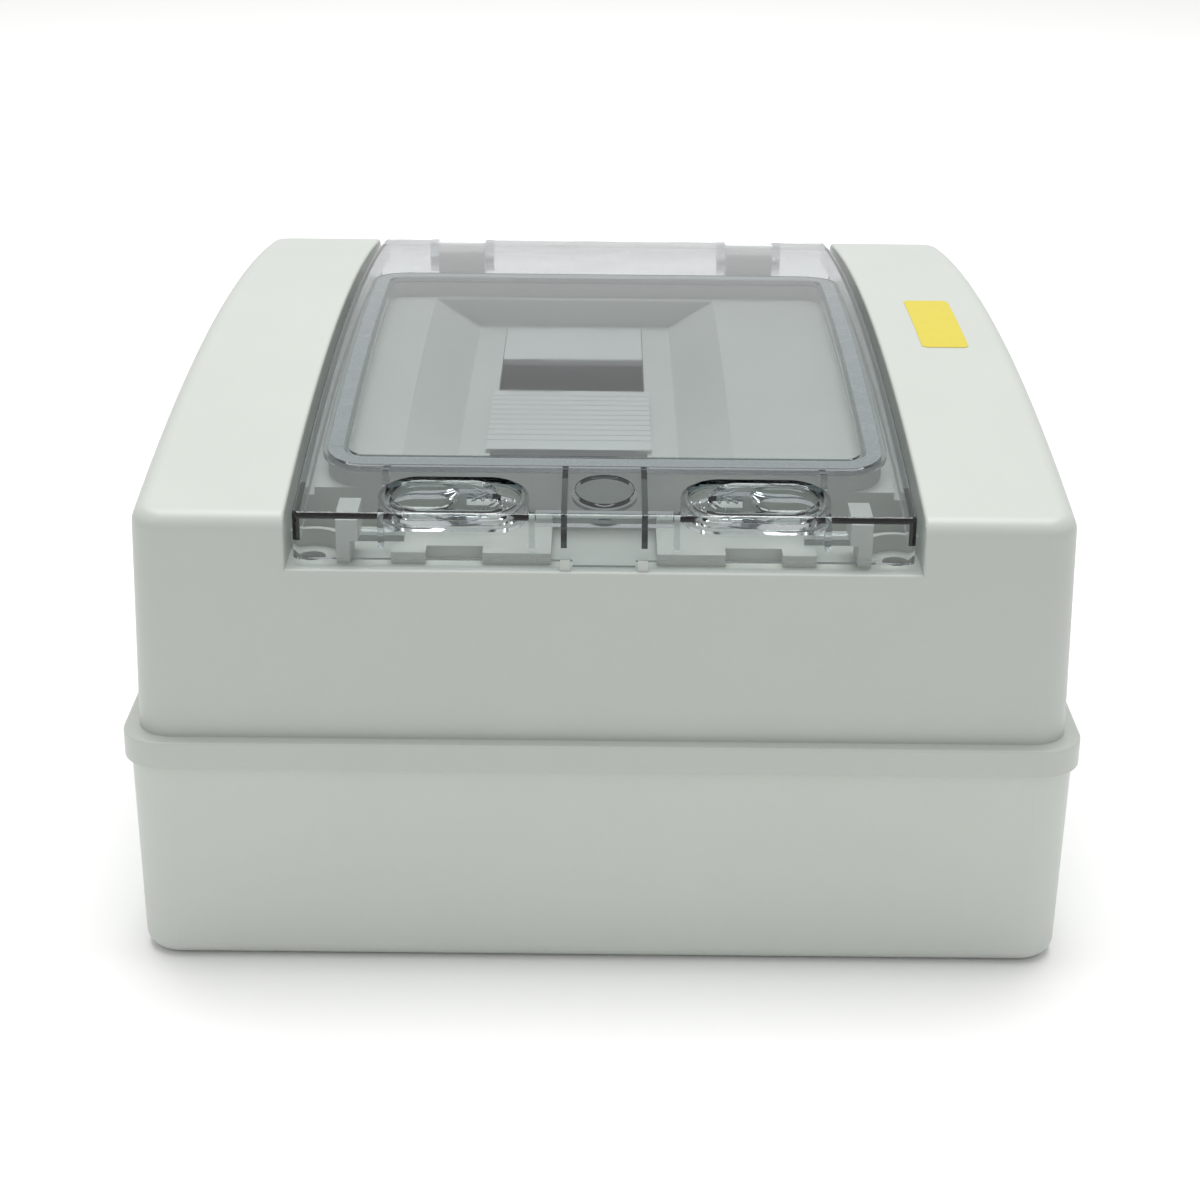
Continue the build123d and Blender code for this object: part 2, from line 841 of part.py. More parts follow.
def under_door(x, thickness, y0, y1, depth):
    """Rib under the door plate, along Y."""
    half = thickness / 2
    return arch_layer(x - half, x + half, y0, y1, 0.5 * door_thickness, depth)


def door_ribs():
    """Thick root behind the skirt, with the ribs and gussets that stiffen the near edge."""
    skirt_middle = -door_near_edge + 0.5 * door_skirt_thickness
    rib_end = -seal_rib_near + 0.5 * seal_rib_thickness
    half = door_root_half_width
    root_end = -door_near_edge + door_root_length
    root_depth = door_thickness + door_root_thickness
    ribs = arch_layer(-half, half, skirt_middle, root_end, 0.5 * door_thickness, root_depth)
    for side in (-1, 1):
        x = side * centre_rib_x
        ribs += under_door(x, centre_rib_thickness, skirt_middle, rib_end, centre_rib_depth)
        x = side * side_rib_x
        ribs += under_door(x, side_rib_thickness, rib_end - side_rib_length, rib_end, side_rib_depth)
        for place in gusset_places:
            gusset_end = -door_near_edge + gusset_length
            ribs += under_door(
                side * place, gusset_thickness, skirt_middle, gusset_end, gusset_depth
            )
    return ribs


def make_door():
    """Clear arched door with flanges, skirt, seal ribs, pockets and hinge cheeks."""
    half = door_width / 2
    plate = door_block(door_thickness)
    frame = door_block(TOP / 2)
    flange_end = hinge_y - hinge_cheek_radius
    flange_depth = door_flange_depth
    for side in (-1, 1):
        low, high = sorted((side * half, side * (half - door_flange_thickness)))
        flange = arch_layer(low, high, -door_near_edge, flange_end, 0.0, flange_depth)
        plate += flange & frame
    plate += door_skirt() & door_block(TOP - door_tab_height)
    plate += seal_ribs()
    plate += door_ribs()
    for side in (-1, 1):
        plate += latch_pocket(side)
    for side in (-1, 1):
        plate -= latch_pocket_void(side)
    plate -= rod(0, lock_place_y, 0, TOP, lock_place_diameter)
    return add_hinge_cheeks(plate)


def add_hinge_cheeks(plate):
    """Notch the far edge round each lug and hang the two bored cheeks beside it."""
    notch_half = hinge_lug_width / 2 + hinge_side_gap
    radius = hinge_cheek_radius
    for side in (-1, 1):
        x = side * hinge_x
        notch_y = door_far_edge - hinge_notch_depth
        plate -= box(x - notch_half, x + notch_half, notch_y, door_far_edge + 1, 0, TOP)
        for cheek_side in (-1, 1):
            inner = x + cheek_side * notch_half
            outer = inner + cheek_side * hinge_cheek_thickness
            low, high = sorted((inner, outer))
            cheek = rod_along_x(low, high, hinge_y, hinge_height, 2 * radius)
            web = box(low, high, hinge_y - radius, hinge_y + radius, hinge_height, TOP)
            cheek += web & door_block(TOP / 2)
            bore = hinge_pin_diameter + 2 * fit_clearance
            cheek -= rod_along_x(low - 1, high + 1, hinge_y, hinge_height, bore)
            plate += cheek
    return plate


def make_hinge_pin(side):
    """Pin through one lug and its two cheeks."""
    half = hinge_lug_width / 2 + hinge_side_gap + hinge_cheek_thickness
    x = side * hinge_x
    pin = rod_along_x(x - half, x + half, hinge_y, hinge_height, hinge_pin_diameter)
    return chamfer(pin.edges(), 0.3)


def make_lock_plug():
    """Round plug that closes the place of an optional lock, with a collar under the door."""
    diameter = lock_place_diameter - 2 * lock_plug_clearance
    collar_top = door_thickness + 0.5 * lock_plug_clearance
    collar_bottom = collar_top + lock_plug_collar_thickness
    stem = follow_arch(rod(0, lock_place_y, 0, TOP, diameter), 0.0, collar_bottom)
    collar = rod(0, lock_place_y, 0, TOP, lock_place_diameter + 2 * lock_plug_collar)
    return stem + follow_arch(collar, collar_top, collar_bottom)


def finger_cup(side, wall):
    """Tapered inside of the finger cup, or its outside when made larger by the wall."""
    outer = slide_outer_x()
    top = arch_height(latch_y)
    mouth_x = outer - cup_wall - cup_length / 2
    sections = []
    for x, length, width, z in (
        (mouth_x, cup_length, cup_width, top),
        (mouth_x + cup_floor_shift, cup_floor_length, cup_floor_width, top - cup_depth - wall),
    ):
        outline = SlotOverall(length + 2 * wall, width + 2 * wall)
        sections.append(Pos(side * x, latch_y, z) * outline)
    return loft(sections, ruled=True)


def latch_tongue(side):
    """Leg under the slide's outer end, with the tongue that reaches under the strike."""
    outer = slide_outer_x()
    leg_outer = outer - tongue_leg_inset
    leg_inner = leg_outer - tongue_leg_thickness
    y0 = latch_y - tongue_width / 2
    y1 = latch_y + tongue_width / 2
    top = tongue_top_height()
    bottom = top - tongue_thickness
    low, high = sorted((side * leg_inner, side * leg_outer))
    leg_top = arch_height(latch_y) - cup_depth - 0.5 * cup_wall
    leg = box(low, high, y0, y1, bottom, leg_top)
    low, high = sorted((side * leg_inner, side * (outer + tongue_reach)))
    return leg + box(low, high, y0, y1, bottom, top)


def make_latch_slide(side):
    """Pinch slide with its finger cup, arrow, side flanges, spring pocket and tongue."""
    outer = slide_outer_x()
    middle = outer - slide_length / 2
    flange_top = door_thickness + running_gap
    flange_bottom = flange_top + slide_flange_thickness
    step = 2 * slide_step_inset
    cap = stadium_prism(side * middle, latch_y, slide_length - step, slide_width - step)
    plate = stadium_prism(side * middle, latch_y, slide_length, slide_width)
    body = follow_arch(cap, slide_top_drop, flange_top)
    body += follow_arch(plate, slide_top_drop + slide_step_depth, flange_bottom)
    flange_length = slide_length - 2 * slide_flange_inset
    flange = stadium_prism(side * middle, latch_y, flange_length, slide_flange_width)
    body += follow_arch(flange, flange_top, flange_bottom)
    cup_end = follow_arch(finger_cup(side, cup_wall), flange_top, TOP - ledge_height)
    body += cup_end
    mouth_x = outer - cup_wall - cup_length / 2
    mouth = stadium_prism(side * mouth_x, latch_y, cup_length, cup_width)
    body -= follow_arch(mouth, -2.0, slide_top_drop + slide_step_depth)
    body -= finger_cup(side, 0.0)
    body += latch_tongue(side)
    inner = outer - slide_length
    low, high = sorted((side * (inner - 1), side * (inner + spring_pocket_length)))
    half_pocket = spring_pocket_width / 2
    pocket_top = spring_height() + spring_diameter / 2 + running_gap
    body -= box(low, high, latch_y - half_pocket, latch_y + half_pocket, ledge_height, pocket_top)
    disc_x = 0.5 * (inner + mouth_x - cup_length / 2)
    arrow = arrow_prism(side, disc_x, arrow_length, arrow_width)
    line = 2 * arrow_line * arrow_width / arrow_length
    arrow -= arrow_prism(side, disc_x + 0.5 * arrow_line, arrow_length - line, arrow_width - 2 * line)
    return body + follow_arch(arrow, slide_top_drop - arrow_height, slide_top_drop + 0.5)


def arrow_prism(side, x, length, width):
    """Upright triangle that points to the middle of the door."""
    outline = Polyline(
        [
            (side * (x - length / 2), latch_y),
            (side * (x + length / 2), latch_y + width / 2),
            (side * (x + length / 2), latch_y - width / 2),
        ],
        close=True,
    )
    return extrude(make_face(outline), amount=TOP, dir=(0, 0, 1))


def spring_height():
    """Height of the latch springs' axis, just over the lip of the pocket."""
    lip_top = arch_height(latch_y) - pocket_depth + pocket_lip_thickness
    return lip_top + running_gap + spring_diameter / 2


def make_latch_spring(side):
    """Coil spring between the pocket's inner end and the slide."""
    start = latch_x - pocket_length / 2 + spring_end_gap + 0.5 * spring_wire_diameter
    end = slide_outer_x() - slide_length + spring_pocket_length
    end -= running_gap + 0.5 * spring_wire_diameter
    length = end - start
    radius = (spring_diameter - spring_wire_diameter) / 2
    path = Helix(pitch=length / spring_turns, height=length, radius=radius)
    section = Plane(origin=path @ 0, z_dir=path % 0) * Circle(spring_wire_diameter / 2)
    coil = sweep(section, path=path, is_frenet=True)
    laid = Rotation(0, 90 * side, 0) * coil
    return Pos(side * start, latch_y, spring_height()) * laid


def make_screw_inserts():
    """Brass inserts in the tops of the tray's pillars."""
    inserts = []
    for x, y in four_corners(screw_spacing_x, screw_spacing_y):
        insert = rod(x, y, base_height - insert_length, base_height, insert_diameter)
        bore = screw_diameter + 2 * pilot_clearance
        inserts.append(insert - rod(x, y, 0, TOP, bore))
    return group(inserts)


def make_cover_screws():
    """Screws at the bottom of the cover's wells."""
    seat = base_height + pillar_gap + well_seat_thickness
    return group(
        headed_screw(
            x, y, seat, screw_diameter, screw_length, screw_head_diameter, screw_head_height
        )
        for x, y in four_corners(screw_spacing_x, screw_spacing_y)
    )


def bracket_foot_x():
    """Distance of a bracket's foot screw from the rail's middle."""
    return bracket_top_width / 2 + bracket_foot_length / 2


def bracket_screw_places():
    """Places of the screws that hold both rail brackets."""
    return [
        (slot_centre_x + sx * bracket_foot_x(), sy * bracket_y) for sx in (-1, 1) for sy in (-1, 1)
    ]


def make_rail_bracket(side):
    """Bent steel bridge that lifts one end of the rail."""
    x = slot_centre_x
    y0 = side * bracket_y - bracket_width / 2
    y1 = side * bracket_y + bracket_width / 2
    seat = base_floor + bracket_boss_height
    half = bracket_top_width / 2
    sheet = bracket_thickness
    bridge = box(x - half, x + half, y0, y1, seat, rail_seat_height)
    bridge -= box(x - half + sheet, x + half - sheet, y0 - 1, y1 + 1, 0, rail_seat_height - sheet)
    for foot in (-1, 1):
        low, high = sorted((x + foot * (half - sheet), x + foot * (half + bracket_foot_length)))
        bridge += box(low, high, y0, y1, seat, seat + sheet)
        hole_x = x + foot * bracket_foot_x()
        hole = bracket_screw_diameter + 2 * screw_clearance
        bridge -= rod(hole_x, side * bracket_y, 0, TOP, hole)
    bore = rail_screw_diameter + 2 * pilot_clearance
    bore_floor = rail_seat_height - rail_screw_length
    return bridge - rod(x, side * bracket_y, bore_floor, TOP, bore)


def make_bracket_screws():
    """Screws through the feet of the rail brackets."""
    seat = base_floor + bracket_boss_height + bracket_thickness
    return group(
        headed_screw(
            x,
            y,
            seat,
            bracket_screw_diameter,
            bracket_screw_length,
            bracket_screw_head_diameter,
            bracket_screw_head_height,
        )
        for x, y in bracket_screw_places()
    )


def make_rail_screws():
    """Screws through the rail into its brackets."""
    seat = rail_seat_height + rail_thickness
    return group(
        headed_screw(
            slot_centre_x,
            side * bracket_y,
            seat,
            rail_screw_diameter,
            rail_screw_length,
            rail_screw_head_diameter,
            rail_screw_head_height,
        )
        for side in (-1, 1)
    )


def make_din_rail():
    """Top-hat rail with slots along its middle."""
    x = slot_centre_x
    half_length = rail_length / 2
    half_base = rail_base_width / 2
    sheet = rail_thickness
    bottom = rail_seat_height
    rail = box(x - half_base, x + half_base, -half_length, half_length, bottom, rail_top_height)
    rail -= box(
        x - half_base + sheet,
        x + half_base - sheet,
        -half_length - 1,
        half_length + 1,
        bottom + sheet,
        rail_top_height + 1,
    )
    half_width = rail_width / 2
    for side in (-1, 1):
        low, high = sorted((x + side * (half_base - sheet), x + side * half_width))
        rail += box(low, high, -half_length, half_length, rail_top_height - sheet, rail_top_height)
    slot_count = int((rail_length - rail_slot_length) / rail_slot_pitch)
    for index in range(slot_count + 1):
        y = (index - slot_count / 2) * rail_slot_pitch
        slot = extrude(Rotation(0, 0, 90) * SlotOverall(rail_slot_length, rail_slot_width), amount=TOP)
        rail -= Pos(x, y, 0) * slot
    return rail


def terminal_places(x):
    """Places of the clamping screws along one terminal bar."""
    return [
        (x, (index - (bar_terminal_count - 1) / 2) * bar_terminal_pitch)
        for index in range(bar_terminal_count)
    ]


def bar_bottom_height():
    """Underside of a terminal bar in its holder."""
    return base_floor + holder_height - holder_seat_depth


def make_terminal_bar(x):
    """Brass bar with cross holes for wires and bores for the clamping screws."""
    bottom = bar_bottom_height()
    half = bar_width / 2
    bar = box(x - half, x + half, -bar_length / 2, bar_length / 2, bottom, bottom + bar_height)
    wire_z = bottom + holder_seat_depth + bar_wire_hole_diameter / 2 + 0.2
    for place_x, y in terminal_places(x):
        bar -= rod_along_x(x - half - 1, x + half + 1, y, wire_z, bar_wire_hole_diameter)
        bore = bar_screw_diameter + 2 * pilot_clearance
        bar -= rod(place_x, y, wire_z, TOP, bore)
    return bar


def make_terminal_screws(x):
    """Clamping screws of one terminal bar."""
    bottom = bar_bottom_height()
    wire_z = bottom + holder_seat_depth + bar_wire_hole_diameter / 2 + 0.2
    seat = bottom + bar_height
    return group(
        headed_screw(
            place_x,
            y,
            seat,
            bar_screw_diameter,
            seat - wire_z,
            bar_screw_head_diameter,
            bar_screw_head_height,
        )
        for place_x, y in terminal_places(x)
    )


def make_bar_holder(x):
    """Plastic foot that carries one terminal bar."""
    top = base_floor + holder_height
    half = holder_width / 2
    holder = box(x - half, x + half, -holder_length / 2, holder_length / 2, base_floor, top)
    half_seat = bar_width / 2 + fit_clearance
    half_bar = bar_length / 2 + fit_clearance
    seat = bar_bottom_height()
    holder -= box(x - half_seat, x + half_seat, -half_bar, half_bar, seat, top + 1)
    return holder


def make_blank_label():
    """Bare sticker with rounded corners on the upper wing."""
    prism = rounded_prism(label_width, label_length, label_corner_radius, 0, TOP, y=label_y)
    return follow_arch(Pos(label_x, 0, 0) * prism, -label_thickness, 0.0)


def all_nodes():
    """Every sub-part of the box by name."""
    near_strip_end = slot_far_end - (far_strip_module_count + open_gap_module_count) * module_width
    floor = hopper_floor_height
    nodes = {
        "base": make_base(),
        "cover_gasket": make_cover_gasket(),
        "front_cover": make_front_cover(),
        "blanking_strip_far": make_blanking_strip(slot_far_end, far_strip_module_count, 0.0, floor),
        "blanking_strip_near": make_blanking_strip(
            near_strip_end, near_strip_module_count, strip_lip, floor + strip_lip_thickness
        ),
        "door": make_door(),
        "door_seal": make_door_seal(),
        "lock_plug": make_lock_plug(),
        "cover_screws": make_cover_screws(),
        "screw_inserts": make_screw_inserts(),
        "din_rail": make_din_rail(),
        "rail_bracket_near": make_rail_bracket(-1),
        "rail_bracket_far": make_rail_bracket(1),
        "rail_screws": make_rail_screws(),
        "bracket_screws": make_bracket_screws(),
        "blank_label": make_blank_label(),
    }
    for place, side in latch_mirror.items():
        nodes["hinge_pin_" + place] = make_hinge_pin(side)
        nodes["latch_slide_" + place] = make_latch_slide(side)
        nodes["latch_spring_" + place] = make_latch_spring(side)
    for name, x in terminal_bar_places.items():
        nodes[name] = make_terminal_bar(x)
        nodes[name + "_holder"] = make_bar_holder(x)
        nodes[name + "_screws"] = make_terminal_screws(x)
    return nodes


os.makedirs("parts", exist_ok=True)
for name, shape in all_nodes().items():
    export_step(shape, "parts/" + name + ".step")
    print(name, len(shape.solids()), round(shape.volume, 1))
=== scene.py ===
import json
import math

import bmesh
import bpy
from mathutils import Matrix, Vector


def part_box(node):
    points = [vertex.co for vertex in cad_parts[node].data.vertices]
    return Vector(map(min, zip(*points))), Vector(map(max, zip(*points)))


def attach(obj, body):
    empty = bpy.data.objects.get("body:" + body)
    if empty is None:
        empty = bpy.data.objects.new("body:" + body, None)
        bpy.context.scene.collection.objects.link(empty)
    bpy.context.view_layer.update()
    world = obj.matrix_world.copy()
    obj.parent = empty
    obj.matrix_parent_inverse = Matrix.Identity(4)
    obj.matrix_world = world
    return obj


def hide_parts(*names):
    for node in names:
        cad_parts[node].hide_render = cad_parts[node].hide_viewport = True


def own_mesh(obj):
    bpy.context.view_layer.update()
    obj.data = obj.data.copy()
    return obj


# The looks of a surface-mount fuse box with a smoky clear door. Metres, +Z out of the wall,
# +X the box's upward direction, the door opens from the -Y side about a hinge at +Y.

# Camera, fitted to the photograph's 1200 pixel frame
FRAME_PIXELS = 1200.0
FOCAL_PIXELS = 2351.5
PRINCIPAL_ROW = 575.6
CAMERA_PLACE = Vector((-0.00162, -0.71262, 0.35121))
LOOK_DOWN = math.radians(22.58)
PAN = math.radians(0.06)
ROLL = math.radians(0.59)
SENSOR = 36.0

# Light and floor
WORLD_STRENGTH = 0.68
FLOOR_SIZE = 14.0
FLOOR_COLOUR = (0.90, 0.90, 0.895, 1.0)
FLOOR_DROP = 0.0002
TOP_LIGHT_PLACE = (0.0, 0.30, 1.9)
TOP_LIGHT_TARGET = (0.0, 0.0, 0.1)
TOP_LIGHT_SIZE = (1.5, 1.2)
TOP_LIGHT_POWER = 34.5

# Latch springs
SPRING_WIRE = 0.0004
SPRING_TURNS = 6
STEPS_PER_TURN = 28
WIRE_SIDES = 10

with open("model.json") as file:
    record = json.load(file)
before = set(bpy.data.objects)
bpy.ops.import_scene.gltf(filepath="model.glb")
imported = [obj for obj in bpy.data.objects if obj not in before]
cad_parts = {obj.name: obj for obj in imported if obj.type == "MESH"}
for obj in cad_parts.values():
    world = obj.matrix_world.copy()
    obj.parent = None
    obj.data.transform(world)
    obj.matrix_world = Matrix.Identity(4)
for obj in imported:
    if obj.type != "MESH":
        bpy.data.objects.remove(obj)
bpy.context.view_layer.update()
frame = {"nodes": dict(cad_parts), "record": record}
nodes = frame["nodes"]


def add_node(tree, kind, inputs=None, **settings):
    """New shader node; an input is a value or the socket that feeds it."""
    node = tree.nodes.new("ShaderNode" + kind)
    for name, value in settings.items():
        setattr(node, name, value)
    for name, value in (inputs or {}).items():
        if isinstance(value, bpy.types.NodeSocket):
            tree.links.new(value, node.inputs[name])
        else:
            node.inputs[name].default_value = value
    return node


def new_tree(name):
    """Empty material with its output node."""
    material = bpy.data.materials.new(name)
    material.use_nodes = True
    tree = material.node_tree
    tree.nodes.clear()
    return material, tree, add_node(tree, "OutputMaterial")


def noise(tree, scale, detail=2.0, stretch=(1.0, 1.0, 1.0)):
    """Noise in the object's own metres, as a value from 0 to 1."""
    place = add_node(tree, "TexCoord").outputs["Object"]
    if stretch != (1.0, 1.0, 1.0):
        place = add_node(tree, "Mapping", {"Vector": place, "Scale": stretch}).outputs["Vector"]
    texture = add_node(tree, "TexNoise", {"Vector": place, "Scale": scale, "Detail": detail})
    return texture.outputs["Fac"]


def spread(tree, value, low, high, start=0.25, end=0.75):
    """Maps a noise value to a range."""
    inputs = {"Value": value, "From Min": start, "From Max": end, "To Min": low, "To Max": high}
    return add_node(tree, "MapRange", inputs).outputs["Result"]


def mix_colours(tree, factor, first, second):
    """Colour between two colours."""
    node = add_node(tree, "Mix", data_type="RGBA")
    for index, value in ((0, factor), (6, first), (7, second)):
        if isinstance(value, bpy.types.NodeSocket):
            tree.links.new(value, node.inputs[index])
        else:
            node.inputs[index].default_value = value
    return node.outputs[2]


def shade(colour, factor):
    """Colour made lighter or darker."""
    return tuple(min(1.0, channel * factor) for channel in colour[:3]) + (1.0,)


def bump(tree, height, strength, distance):
    """Normal from a height in metres."""
    inputs = {"Height": height, "Strength": strength, "Distance": distance}
    return add_node(tree, "Bump", inputs).outputs["Normal"]


def moulded_plastic(name, colour, roughness=0.42, grain=0.5):
    """Opaque moulded plastic with a fine spark grain and faint clouding."""
    material, tree, output = new_tree(name)
    clouds = noise(tree, 11.0, 3.0)
    flow = noise(tree, 60.0, 2.0, stretch=(1.0, 0.35, 1.0))
    base = mix_colours(tree, clouds, shade(colour, 0.975), shade(colour, 1.025))
    base = mix_colours(tree, spread(tree, flow, 0.0, 0.25), base, shade(colour, 0.955))
    grain_height = noise(tree, 2400.0, 2.0)
    normal = bump(tree, grain_height, grain, 0.00006)
    rough = spread(tree, noise(tree, 34.0, 4.0), roughness - 0.05, roughness + 0.06)
    inputs = {"Base Color": base, "Roughness": rough, "Normal": normal, "IOR": 1.5}
    surface = add_node(tree, "BsdfPrincipled", inputs)
    tree.links.new(surface.outputs["BSDF"], output.inputs["Surface"])
    return material


def clear_plastic(name, tint, density, ior=1.5, roughness=0.025):
    """Polished clear plastic that takes light over its depth and lets soft light through."""
    material, tree, output = new_tree(name)
    smudge = spread(tree, noise(tree, 45.0, 5.0), roughness, 2.6 * roughness, 0.45, 0.8)
    waves = bump(tree, noise(tree, 70.0, 1.0), 0.08, 0.0002)
    glass = add_node(tree, "BsdfPrincipled", {
        "Base Color": (1.0, 1.0, 1.0, 1.0), "Transmission Weight": 1.0, "IOR": ior,
        "Roughness": smudge, "Normal": waves,
    })
    through = add_node(tree, "BsdfTransparent", {"Color": (0.94, 0.94, 0.94, 1.0)})
    path = add_node(tree, "LightPath").outputs
    lit = add_node(tree, "MixShader", {
        0: path["Is Shadow Ray"], 1: glass.outputs[0], 2: through.outputs[0],
    })
    mixed = add_node(tree, "MixShader", {
        0: path["Is Diffuse Ray"], 1: lit.outputs[0], 2: through.outputs[0],
    })
    inside = add_node(tree, "VolumeAbsorption", {"Color": tint, "Density": density})
    tree.links.new(mixed.outputs[0], output.inputs["Surface"])
    tree.links.new(inside.outputs[0], output.inputs["Volume"])
    return material


def metal(name, colour, roughness=0.3, streak=(1.0, 1.0, 1.0)):
    """Plated or machined metal with fine streaks and faint staining."""
    material, tree, output = new_tree(name)
    stain = noise(tree, 90.0, 4.0)
    base = mix_colours(tree, stain, shade(colour, 0.86), shade(colour, 1.06))
    fine = noise(tree, 900.0, 3.0, stretch=streak)
    rough = spread(tree, fine, roughness - 0.08, roughness + 0.1)
    normal = bump(tree, fine, 0.25, 0.00004)
    inputs = {"Base Color": base, "Metallic": 1.0, "Roughness": rough, "Normal": normal}
    surface = add_node(tree, "BsdfPrincipled", inputs)
    tree.links.new(surface.outputs["BSDF"], output.inputs["Surface"])
    return material


def foam(name, colour):
    """Soft closed-cell foam."""
    material, tree, output = new_tree(name)
    cells = add_node(tree, "TexVoronoi", {
        "Vector": add_node(tree, "TexCoord").outputs["Object"], "Scale": 1600.0,
    }).outputs["Distance"]
    base = mix_colours(tree, cells, shade(colour, 0.8), shade(colour, 1.2))
    inputs = {"Base Color": base, "Roughness": 0.85, "Normal": bump(tree, cells, 0.5, 0.0001)}
    surface = add_node(tree, "BsdfPrincipled", inputs)
    tree.links.new(surface.outputs["BSDF"], output.inputs["Surface"])
    return material


def coated_paper(name, colour):
    """Bare coated sticker, faintly mottled."""
    material, tree, output = new_tree(name)
    mottle = noise(tree, 420.0, 3.0)
    base = mix_colours(tree, mottle, shade(colour, 0.95), shade(colour, 1.04))
    rough = spread(tree, noise(tree, 120.0, 2.0), 0.34, 0.46)
    normal = bump(tree, noise(tree, 260.0, 2.0), 0.15, 0.0001)
    inputs = {"Base Color": base, "Roughness": rough, "Normal": normal}
    surface = add_node(tree, "BsdfPrincipled", inputs)
    tree.links.new(surface.outputs["BSDF"], output.inputs["Surface"])
    return material


def make_materials():
    """One material for each slot of the record."""
    return {
        "base_plastic": moulded_plastic("base_plastic", (0.53, 0.562, 0.522, 1), 0.44),
        "cover_plastic": moulded_plastic("cover_plastic", (0.476, 0.502, 0.467, 1), 0.42),
        "strip_plastic": moulded_plastic("strip_plastic", (0.56, 0.585, 0.565, 1), 0.35, 0.25),
        "smoky_clear": clear_plastic("smoky_clear", (0.38, 0.45, 0.475, 1), 144.0),
        "clear_plastic": clear_plastic("clear_plastic", (0.46, 0.53, 0.55, 1), 130.0, 1.3),
        "seal_foam": foam("seal_foam", (0.045, 0.05, 0.052, 1)),
        "pale_foam": foam("pale_foam", (0.33, 0.355, 0.355, 1)),
        "zinc_steel": metal("zinc_steel", (0.62, 0.63, 0.65, 1), 0.32),
        "brass": metal("brass", (0.72, 0.53, 0.24, 1), 0.28, (1.0, 0.1, 1.0)),
        "spring_steel": metal("spring_steel", (0.55, 0.56, 0.58, 1), 0.22),
        "label": coated_paper("label", (0.57, 0.475, 0.032, 1)),
        "holder_neutral": moulded_plastic("holder_neutral", (0.03, 0.12, 0.42, 1), 0.38, 0.3),
        "holder_earth": moulded_plastic("holder_earth", (0.03, 0.30, 0.08, 1), 0.38, 0.3),
    }


def dress_nodes(materials):
    """Gives each packed sub-part the material of its slot."""
    for part in frame["record"]["subparts"]:
        for holder in nodes[part["node"]].material_slots:
            holder.material = materials[part["material_slot"]]


def coil_rings(low, high):
    """Rings of points along a coil that lies along X and fills a box."""
    middle = (low + high) / 2
    wire = SPRING_WIRE / 2
    radius = (high.y - low.y) / 2 - wire
    run = high.x - low.x - SPRING_WIRE
    steps = SPRING_TURNS * STEPS_PER_TURN
    rings = []
    for index in range(steps + 1):
        turn = math.tau * index / STEPS_PER_TURN
        outward = Vector((0.0, math.cos(turn), math.sin(turn)))
        round_way = Vector((0.0, -math.sin(turn), math.cos(turn)))
        along = Vector((run / (math.tau * SPRING_TURNS), 0.0, 0.0)) + radius * round_way
        sideways = along.normalized().cross(outward)
        centre = Vector((low.x + wire + run * index / steps, middle.y, middle.z)) + radius * outward
        angles = [math.tau * corner / WIRE_SIDES for corner in range(WIRE_SIDES)]
        rings.append([
            centre + wire * (math.cos(angle) * outward + math.sin(angle) * sideways) for angle in angles
        ])
    return rings


def coil_mesh(name, low, high):
    """Closed mesh of a coil that fills a box."""
    shape = bmesh.new()
    rings = [[shape.verts.new(point) for point in ring] for ring in coil_rings(low, high)]
    for first, second in zip(rings, rings[1:]):
        for corner in range(WIRE_SIDES):
            following = (corner + 1) % WIRE_SIDES
            shape.faces.new((first[corner], first[following], second[following], second[corner]))
    shape.faces.new(reversed(rings[0]))
    shape.faces.new(rings[-1])
    bmesh.ops.recalc_face_normals(shape, faces=shape.faces)
    for face in shape.faces:
        face.smooth = len(face.verts) == 4
    mesh = bpy.data.meshes.new(name)
    shape.to_mesh(mesh)
    shape.free()
    return mesh


def make_spring(place, material):
    """Coil spring of one latch, filling the box of its packed part and carried with the door."""
    node = "latch_spring_" + place
    low, high = (Vector(corner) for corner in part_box(node))
    mesh = coil_mesh("coil_" + place, low, high)
    mesh.materials.append(material)
    coil = bpy.data.objects.new("coil_" + place, mesh)
    bpy.context.scene.collection.objects.link(coil)
    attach(coil, "door")
    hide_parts(node)
    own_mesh(coil)


def make_floor():
    """Wide pale floor under the box."""
    half = FLOOR_SIZE / 2
    corners = [(-half, -half, 0.0), (half, -half, 0.0), (half, half, 0.0), (-half, half, 0.0)]
    mesh = bpy.data.meshes.new("floor")
    mesh.from_pydata(corners, [], [(0, 1, 2, 3)])
    floor = bpy.data.objects.new("floor", mesh)
    floor.location.z = -FLOOR_DROP
    bpy.context.scene.collection.objects.link(floor)
    material, tree, output = new_tree("pale_floor")
    base = mix_colours(tree, noise(tree, 3.0), FLOOR_COLOUR, shade(FLOOR_COLOUR, 0.985))
    surface = add_node(tree, "BsdfPrincipled", {"Base Color": base, "Roughness": 0.9})
    surface.inputs["Specular IOR Level"].default_value = 0.1
    tree.links.new(surface.outputs["BSDF"], output.inputs["Surface"])
    mesh.materials.append(material)


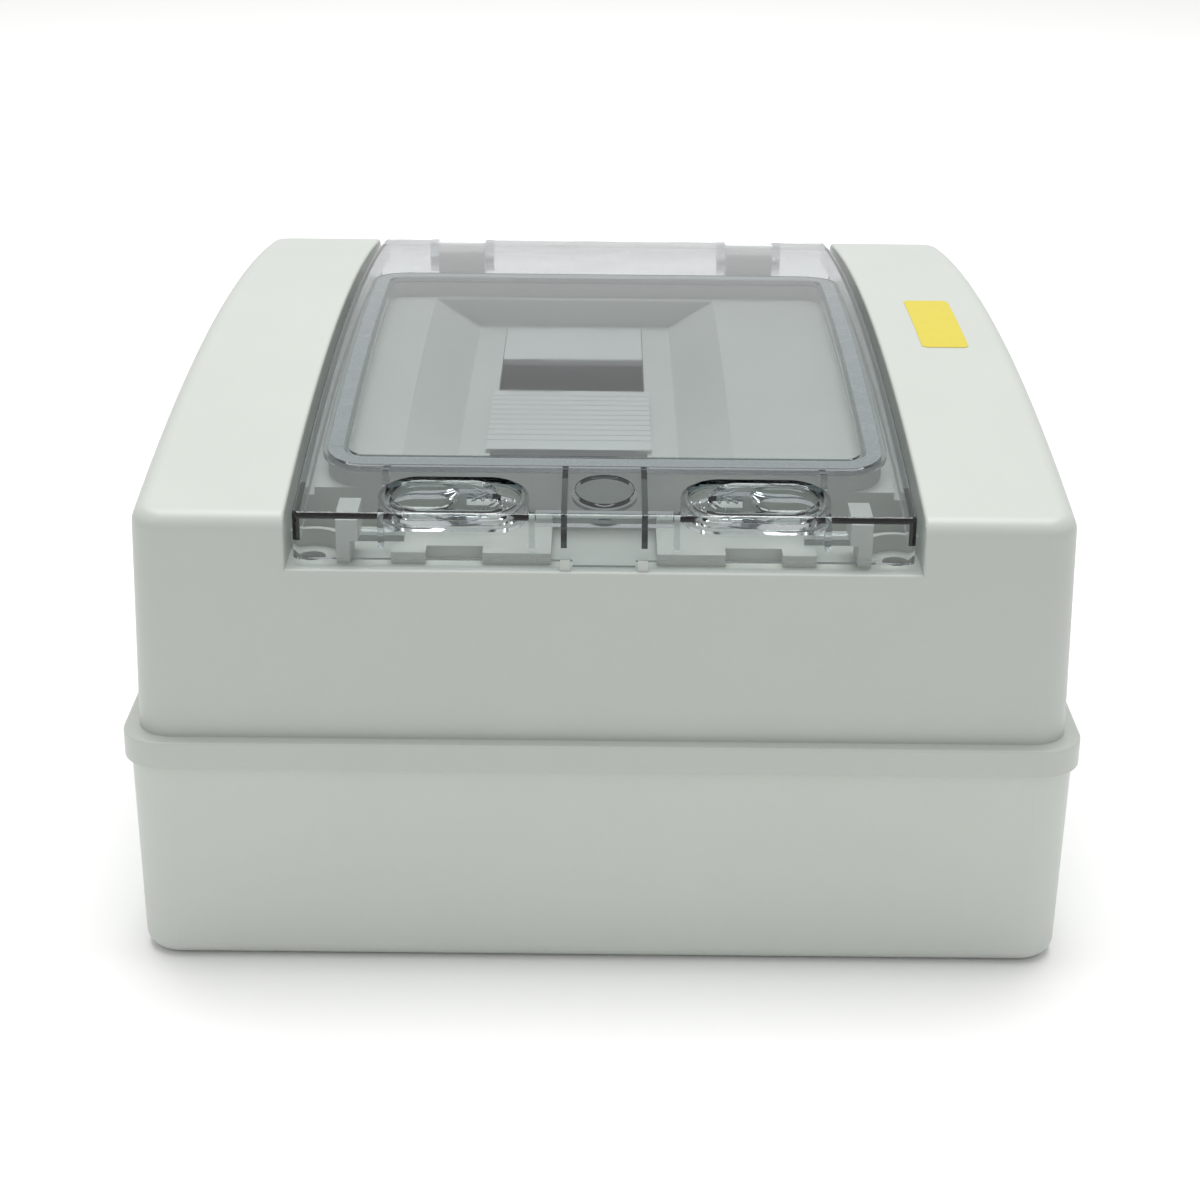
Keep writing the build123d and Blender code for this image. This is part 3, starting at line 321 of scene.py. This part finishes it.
def make_top_light():
    """Broad soft box over the box and a little behind it."""
    data = bpy.data.lights.new("top_light", "AREA")
    data.shape = "RECTANGLE"
    data.size, data.size_y = TOP_LIGHT_SIZE
    data.energy = TOP_LIGHT_POWER
    light = bpy.data.objects.new("top_light", data)
    light.location = TOP_LIGHT_PLACE
    aim = Vector(TOP_LIGHT_TARGET) - Vector(TOP_LIGHT_PLACE)
    light.rotation_euler = aim.to_track_quat("-Z", "Y").to_euler()
    bpy.context.scene.collection.objects.link(light)


def make_surround():
    """Even pale surround, with plain colours and no caustics."""
    scene = bpy.context.scene
    world = bpy.data.worlds.new("surround")
    world.use_nodes = True
    background = world.node_tree.nodes["Background"]
    background.inputs["Color"].default_value = (1.0, 1.0, 1.0, 1.0)
    background.inputs["Strength"].default_value = WORLD_STRENGTH
    scene.world = world
    scene.view_settings.view_transform = "Standard"
    scene.cycles.caustics_refractive = False
    scene.cycles.caustics_reflective = False
    scene.cycles.transparent_max_bounces = 16


def make_camera():
    """Camera at the photograph's place, with its small vertical shift."""
    forward = Vector((
        math.sin(PAN) * math.cos(LOOK_DOWN),
        math.cos(PAN) * math.cos(LOOK_DOWN),
        -math.sin(LOOK_DOWN),
    ))
    level = Vector((math.cos(PAN), -math.sin(PAN), 0.0))
    upright = level.cross(forward)
    right = math.cos(ROLL) * level + math.sin(ROLL) * upright
    up = math.cos(ROLL) * upright - math.sin(ROLL) * level
    data = bpy.data.cameras.new("camera")
    data.sensor_width = SENSOR
    data.sensor_fit = "HORIZONTAL"
    data.lens = FOCAL_PIXELS / FRAME_PIXELS * SENSOR
    data.shift_y = (PRINCIPAL_ROW - FRAME_PIXELS / 2) / FRAME_PIXELS
    data.clip_start = 0.01
    camera = bpy.data.objects.new("camera", data)
    turned = Matrix((right, up, -forward)).transposed().to_4x4()
    camera.matrix_world = Matrix.Translation(CAMERA_PLACE) @ turned
    bpy.context.scene.collection.objects.link(camera)
    bpy.context.scene.camera = camera


make_camera()
make_surround()
make_top_light()
make_floor()
materials = make_materials()
dress_nodes(materials)
for place in ("upper", "lower"):
    make_spring(place, materials["spring_steel"])
